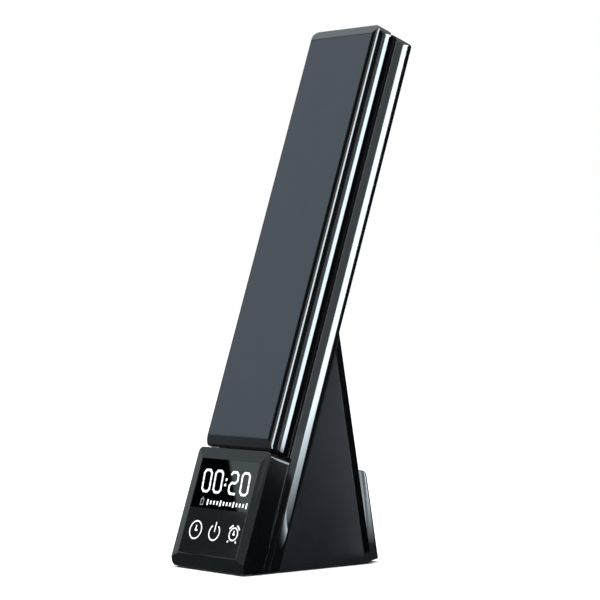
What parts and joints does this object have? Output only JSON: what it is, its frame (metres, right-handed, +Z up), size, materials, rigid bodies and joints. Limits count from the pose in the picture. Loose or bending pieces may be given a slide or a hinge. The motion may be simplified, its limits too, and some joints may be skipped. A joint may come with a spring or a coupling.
{
  "type": "desk lamp",
  "caption": "Folding desk lamp: a slim lamp head hinged at the top of a leaning arm, with a clock box and phone ledge at its foot, a wedge leg behind and a rear power inlet.",
  "frame": {"origin": "middle of the lamp's box, on the table that it stands on", "axes": "+Z up, -Y towards the clock face and the user, +X to the right seen from the front"},
  "size_m": [0.062, 0.1238, 0.2989],
  "materials": {
    "gloss_black": "polished moulded plastic",
    "satin_slate": "satin slate-grey face",
    "satin_black": "fine satin black moulding",
    "panel_black": "gloss black window panel",
    "lit_white": "lit white segments",
    "diffuser_white": "opal diffuser",
    "circuit_green": "circuit board with solder mask",
    "screw_steel": "zinc-plated steel",
    "hinge_steel": "blackened steel",
    "contact_brass": "plain brass",
    "copper_winding": "enamelled copper winding",
    "ferrite_grey": "sintered ferrite",
    "ballast_steel": "plain steel block",
    "rubber_black": "moulded rubber",
    "led_yellow": "LED phosphor",
    "board_aluminium": "aluminium LED board",
    "dark_plastic": "black moulded plastic"
  },
  "bodies": {
    "stand": {"arm_front_shell": "gloss_black", "arm_rear_shell": "gloss_black", "arm_screws": "screw_steel", "hinge_bracket": "hinge_steel", "bracket_screws": "screw_steel", "hinge_pin": "screw_steel", "hinge_washers": "contact_brass", "hinge_nut": "screw_steel", "charging_coil": "copper_winding", "ferrite_plate": "ferrite_grey", "charger_board": "circuit_green", "display_housing": "satin_black", "front_panel": "panel_black", "display_module": "dark_plastic", "display_digits": "lit_white", "touch_pads": "contact_brass", "touch_board": "circuit_green", "main_board": "circuit_green", "board_screws": "screw_steel", "alarm_buzzer": "dark_plastic", "backup_cell": "screw_steel", "housing_screws": "screw_steel", "stand_leg": "satin_black", "leg_screws": "screw_steel", "base_plate": "dark_plastic", "base_screws": "screw_steel", "ballast": "ballast_steel", "rubber_feet": "rubber_black", "rear_port_cover": "gloss_black", "power_board": "circuit_green", "power_socket": "screw_steel", "power_lead": "rubber_black", "lamp_lead": "rubber_black"},
    "lamp_head": {"head_cover": "gloss_black", "head_face_panel": "satin_slate", "head_rim": "gloss_black", "light_diffuser": "diffuser_white", "reflector_sheet": "diffuser_white", "led_board": "board_aluminium", "led_chips": "led_yellow", "head_screws": "screw_steel", "head_hinge_leaf": "hinge_steel", "head_leaf_screws": "screw_steel"}
  },
  "joints": [
    {"name": "head_fold", "type": "hinge", "parent": "stand", "child": "lamp_head", "pos_m": [0, 0.04921, 0.29503], "axis": [-1, 0, 0], "range_deg": [0, 180]}
  ]
}
